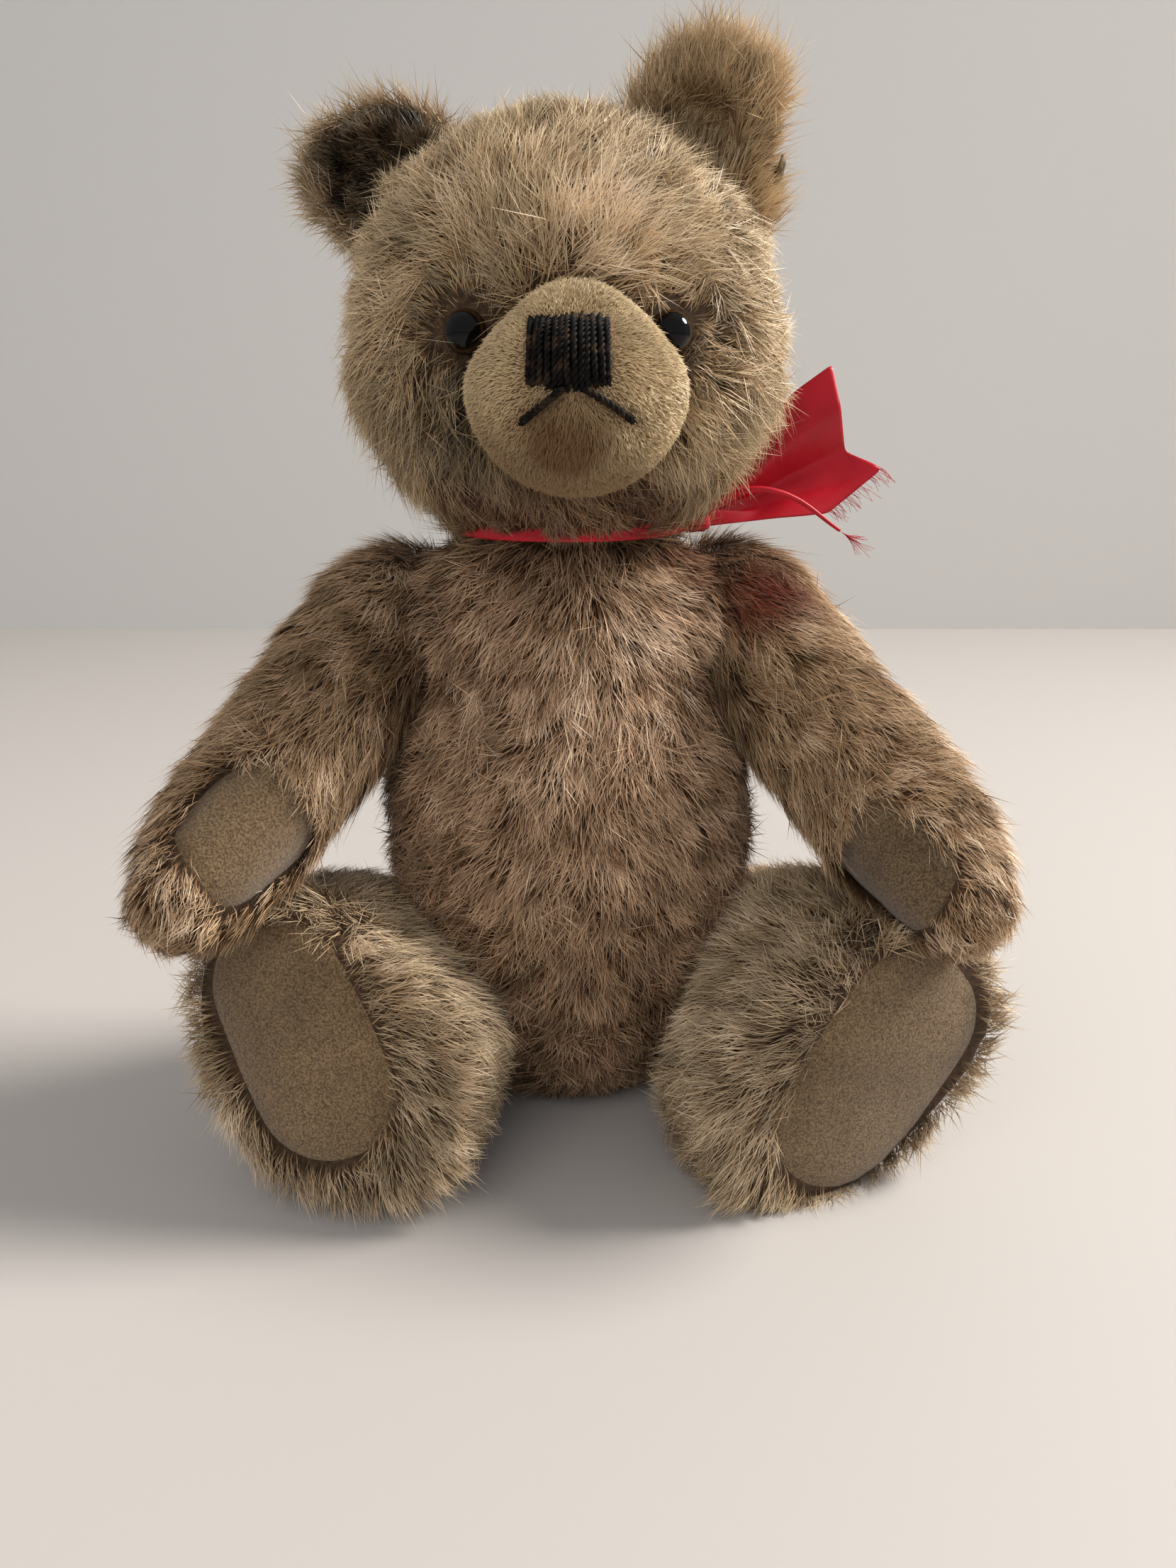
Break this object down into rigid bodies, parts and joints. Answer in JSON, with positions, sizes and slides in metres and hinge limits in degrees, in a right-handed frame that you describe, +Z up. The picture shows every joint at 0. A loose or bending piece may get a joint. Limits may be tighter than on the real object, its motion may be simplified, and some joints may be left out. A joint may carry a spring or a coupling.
{
  "type": "jointed mohair teddy bear",
  "caption": "Worn jointed teddy bear, sitting: wood wool filled mohair body, head, arms and legs on disc joints, felt pads, glass eyes, stitched nose and a frayed red neck ribbon.",
  "frame": {"origin": "middle of the flat underside that the torso sits on, under the neck", "axes": "+Z up through the neck, -Y the way the face and feet point, +X to the bear's own left"},
  "size_m": [0.1732, 0.1058, 0.2325],
  "materials": {
    "body_mohair": "worn brown mohair pile with pale tips",
    "head_mohair": "worn tan mohair pile",
    "arm_mohair": "worn brown mohair pile",
    "leg_mohair": "faded grey brown mohair pile",
    "ear_mohair": "shaggy mohair pile, dark inside",
    "muzzle_pile": "short dense cream pile, dirty below the mouth",
    "felt": "taupe wool felt, rubbed and speckled",
    "wood_wool": "packed curled shavings",
    "hardboard": "pressed brown board",
    "steel": "plain bright steel",
    "black_thread": "thick black embroidery thread",
    "eye_glass": "polished dark glass with a black pupil",
    "bronze": "dull dark bronze",
    "red_satin": "creased red satin, frayed at the cut ends"
  },
  "bodies": {
    "torso": {"torso_cover": "body_mohair", "torso_filling": "wood_wool", "neck_ribbon": "red_satin", "neck_body_disc": "hardboard", "neck_body_washer": "steel", "neck_pin": "steel", "shoulder_right_body_disc": "hardboard", "shoulder_right_body_washer": "steel", "shoulder_right_pin": "steel", "shoulder_left_body_disc": "hardboard", "shoulder_left_body_washer": "steel", "shoulder_left_pin": "steel", "hip_right_body_disc": "hardboard", "hip_right_body_washer": "steel", "hip_right_pin": "steel", "hip_left_body_disc": "hardboard", "hip_left_body_washer": "steel", "hip_left_pin": "steel"},
    "head": {"head_cover": "head_mohair", "head_filling": "wood_wool", "head_disc": "hardboard", "head_washer": "steel", "muzzle_cover": "muzzle_pile", "nose_stitching": "black_thread", "mouth_stitch_right": "black_thread", "mouth_stitch_left": "black_thread", "eye_right": "eye_glass", "eye_left": "eye_glass", "ear_right": "ear_mohair", "ear_left": "ear_mohair", "ear_stud": "bronze"},
    "arm_right": {"arm_right_cover": "arm_mohair", "arm_right_filling": "wood_wool", "arm_right_disc": "hardboard", "arm_right_washer": "steel", "paw_pad_right": "felt"},
    "arm_left": {"arm_left_cover": "arm_mohair", "arm_left_filling": "wood_wool", "arm_left_disc": "hardboard", "arm_left_washer": "steel", "paw_pad_left": "felt"},
    "leg_right": {"leg_right_cover": "leg_mohair", "leg_right_filling": "wood_wool", "leg_right_disc": "hardboard", "leg_right_washer": "steel", "foot_pad_right": "felt"},
    "leg_left": {"leg_left_cover": "leg_mohair", "leg_left_filling": "wood_wool", "leg_left_disc": "hardboard", "leg_left_washer": "steel", "foot_pad_left": "felt"}
  },
  "joints": [
    {"name": "neck_turn", "type": "hinge", "parent": "torso", "child": "head", "pos_m": [0, 0, 0.139], "axis": [0, 0, 1], "range_deg": [-45, 45]},
    {"name": "shoulder_right", "type": "hinge", "parent": "torso", "child": "arm_right", "pos_m": [-0.031, 0.002, 0.114], "axis": [-0.9385, 0.1152, 0.3256], "range_deg": [0, 75]},
    {"name": "shoulder_left", "type": "hinge", "parent": "torso", "child": "arm_left", "pos_m": [0.031, 0.002, 0.114], "axis": [-0.9067, -0.1113, -0.4067], "range_deg": [-30, 75]},
    {"name": "hip_right", "type": "hinge", "parent": "torso", "child": "leg_right", "pos_m": [-0.026, -0.002, 0.026], "axis": [-0.9609, 0.2396, -0.1392], "range_deg": [-90, 0]},
    {"name": "hip_left", "type": "hinge", "parent": "torso", "child": "leg_left", "pos_m": [0.026, -0.002, 0.026], "axis": [-0.9194, -0.3529, 0.1736], "range_deg": [-90, 0]}
  ]
}
